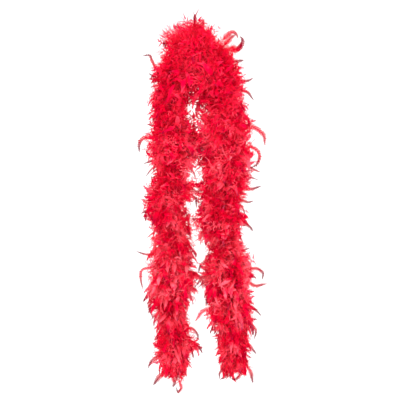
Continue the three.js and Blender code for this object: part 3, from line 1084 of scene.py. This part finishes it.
def feather_line(name, body):
    """The body's stretch of cord, with the reach of the fluff stored along it."""
    start, end = SPANS[body]
    count = round(abs(end - start) / SAMPLE_STEP) + 1
    distances = np.linspace(start, end, count)
    mesh = bpy.data.meshes.new(name)
    mesh.from_pydata([tuple(point_at(d)) for d in distances], [(i, i + 1) for i in range(count - 1)], [])
    out, *reaches = zip(*[reach_at(d) for d in distances])
    outer = [x for way in out for x in way]
    mesh.attributes.new("outer", "FLOAT_VECTOR", "POINT").data.foreach_set("vector", outer)
    for key, values in zip(("reach_outer", "reach_inner", "reach_front", "lean_here"), reaches):
        mesh.attributes.new(key, "FLOAT", "POINT").data.foreach_set("value", values)
    return link_in(bpy.data.objects.new(name, mesh))


def grown(name, body, settings):
    """The feathers that the tree sets on that body's cord, as a plain mesh."""
    carrier = feather_line(name + "_line", body)
    modifier = carrier.modifiers.new("feathers", "NODES")
    modifier.node_group = FEATHERS
    for item in FEATHERS.interface.items_tree:
        if item.item_type == "SOCKET" and item.in_out == "INPUT" and item.name in settings:
            modifier[item.identifier] = settings[item.name]
    dg = bpy.context.evaluated_depsgraph_get()
    mesh = bpy.data.meshes.new_from_object(carrier.evaluated_get(dg), preserve_all_data_layers=True,
                                           depsgraph=dg)
    bpy.data.objects.remove(carrier)
    for spare in ("root", "limp", "outer", "reach_outer", "reach_inner", "reach_front", "lean_here"):
        if spare in mesh.attributes:
            mesh.attributes.remove(mesh.attributes[spare])
    mesh.name = name
    return mesh


def joined(name, meshes):
    """One object that holds all the meshes."""
    parts = [link_in(bpy.data.objects.new(f"{name}_{i}", m)) for i, m in enumerate(meshes)]
    with bpy.context.temp_override(active_object=parts[0], selected_editable_objects=parts):
        bpy.ops.object.join()
    parts[0].name = name
    parts[0].data.name = name
    return parts[0]


def body_at(point):
    """The body whose cord is nearest."""
    nearest = RUN[np.argmin(np.linalg.norm(LINE - np.array(point), axis=1))]
    return next((body for body, span in SPANS.items() if min(span) <= nearest <= max(span)), "crown")


def hand_set_feathers(body):
    """The feathers that stand out on this body, as one mesh in a list, or an empty list."""
    rng = random.Random(body)
    d, tints, depths = Drawing(), [], []
    for width, points in STANDING_OUT:
        points = [Vector(p) / 1000 for p in points]
        if body_at(points[0]) != body:
            continue
        first = len(d.points)
        shaft = Shaft(catmull_rom(points, spacing=0.002)[0], rng.uniform(-0.8, 0.8), Vector((0, -1, 0)))
        draw_quill(d, shaft, HAND_QUILL_RADIUS, steps=12)
        draw_vane(d, rng, shaft, width / 2000, HAND_VANE_FROM, panels=14)
        draw_loose_barbs(d, rng, shaft, HAND_BARB_WIDTH, HAND_VANE_FROM + 0.1, 14)
        bridging = width > BRIDGING_WIDTH_MM and abs(points[-1].x) < BRIDGING_HALF_GAP and points[-1].z < 0
        tints += [rng.uniform(0.0, 0.35) + (BRIDGING_TINT if bridging else 0)] * (len(d.points) - first)
        # Depth from the root sets how much painted shade and painted highlight each point gets
        depths += [min((Vector(p) - points[0]).length / HAND_DEPTH_SCALE, HAND_DEPTH_MOST)
                   for p in d.points[first:]]
    if not d.points:
        return []
    d.along = [min(0.25 + 0.85 * t, 1) for t in d.along]
    made = d.finish(body + "_hand_set", dye=(("tint", tints), ("depth", depths))).data
    made.materials.append(VANE)
    made.materials.append(QUILL)
    made.polygons.foreach_set("material_index", [int(q) for q in d.quill])
    return [made]


def feathers_for(body, index):
    start, end = SPANS[body]
    length_mm = abs(end - start) * 1000
    down = how_far_down((start + end) / 2)
    crown = body == "crown"
    bunches = round(length_mm / 1000 / BUNCH_PITCH)

    def row(kind, shapes, per_mm, seed, finish, **settings):
        each = round(per_mm * length_mm / bunches)
        return grown(f"{body}_{kind}", body, {
            "Shapes": shapes, "Count": each * bunches, "Bunch": each, "Seed": seed + index,
            "Gather": BUNCH_PITCH * GATHERED, "Finish": finish, "Quill Finish": QUILL,
            **{key.title(): value for key, value in settings.items()},
        })

    kinds = [
        row("vanes", VANE_SHAPES, VANES_PER_MM * (0.45 if crown else 1), 100, VANE,
            shortest=0.85, longest=1.15,
            lean=0.1 + 0.25 * down, spread=0.4, splay=1.0, tilt=0.6, roll=3.1, droop=0.003 + 0.022 * down),
        row("leaves", LEAF_SHAPES, LEAVES_PER_MM * (0.05 + 0.95 * down), 150, VANE,
            shortest=0.8, longest=1.15,
            lean=0.2 + 0.35 * down, spread=0.4, splay=0.8, tilt=0.5, roll=0.7, droop=0.004 + 0.028 * down),
        row("curls", CURL_SHAPES, CURLS_PER_MM * (0.3 if crown else 1 - 0.4 * down), 200, VANE,
            shortest=0.75, longest=1.15,
            lean=0.05 + 0.2 * down, spread=0.6, splay=1.0, tilt=0.8, roll=3.1, droop=0.003 + 0.016 * down),
        row("plumes", PLUME_SHAPES, PLUMES_PER_MM, 300, DOWN,
            shortest=0.75, longest=1.08 - 0.15 * down,
            lean=0.05 + 0.15 * down, spread=0.5, splay=1.0, tilt=0.5, roll=3.1, droop=0.002 + 0.014 * down),
        row("tufts", TUFT_SHAPES, TUFTS_PER_MM * (2.6 if crown else 1.2), 500, DOWN,
            shortest=0.55, longest=1.0 if crown else 0.88,
            lean=0.0, spread=0.5, splay=0.8, tilt=0.4, roll=3.1, droop=0.002),
    ]
    piece = joined(f"feathers_{body}", [*kinds, *hand_set_feathers(body)])
    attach(piece, body)
    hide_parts(*cad_nodes(body, "feathers_"))


for number, body in enumerate(SPANS):
    feathers_for(body, number)
for group in (VANE_SHAPES, LEAF_SHAPES, CURL_SHAPES, PLUME_SHAPES, TUFT_SHAPES):
    for shape in list(group.objects):
        bpy.data.objects.remove(shape)
    bpy.data.collections.remove(group)


# ---------------------------------------------------------------- room

def add_world():
    world = bpy.data.worlds.new("studio")
    world.use_nodes = True
    background = world.node_tree.nodes["Background"].inputs
    background["Color"].default_value = (1, 1, 1, 1)
    background["Strength"].default_value = 1.28
    bpy.context.scene.world = world
    bpy.context.scene.view_settings.view_transform = "Standard"


def add_floor():
    mesh = bpy.data.meshes.new("floor")
    bm = bmesh.new()
    bmesh.ops.create_circle(bm, cap_ends=True, segments=96, radius=2.4)
    bm.to_mesh(mesh)
    bm.free()
    floor = link_in(bpy.data.objects.new("floor", mesh))
    floor.location = (0, 0, -1.5)
    pale = Finish("pale_floor")
    pale.fill(pale.skin, {"Base Color": (0.9, 0.9, 0.9), "Roughness": 0.9})
    mesh.materials.append(pale.material)


def add_light(name, at, target, size, power):
    data = bpy.data.lights.new(name, "AREA")
    data.size = size
    data.energy = power
    lamp = link_in(bpy.data.objects.new(name, data))
    lamp.location = at
    lamp.rotation_euler = (Vector(target) - Vector(at)).to_track_quat("-Z", "Y").to_euler()


add_world()
add_floor()
add_light("key", (-1.2, -2.6, 0.45), (0, 0, -0.45), 1.6, 82)
add_light("fill", (1.6, -2.2, 0.0), (0, 0, -0.5), 1.6, 56)
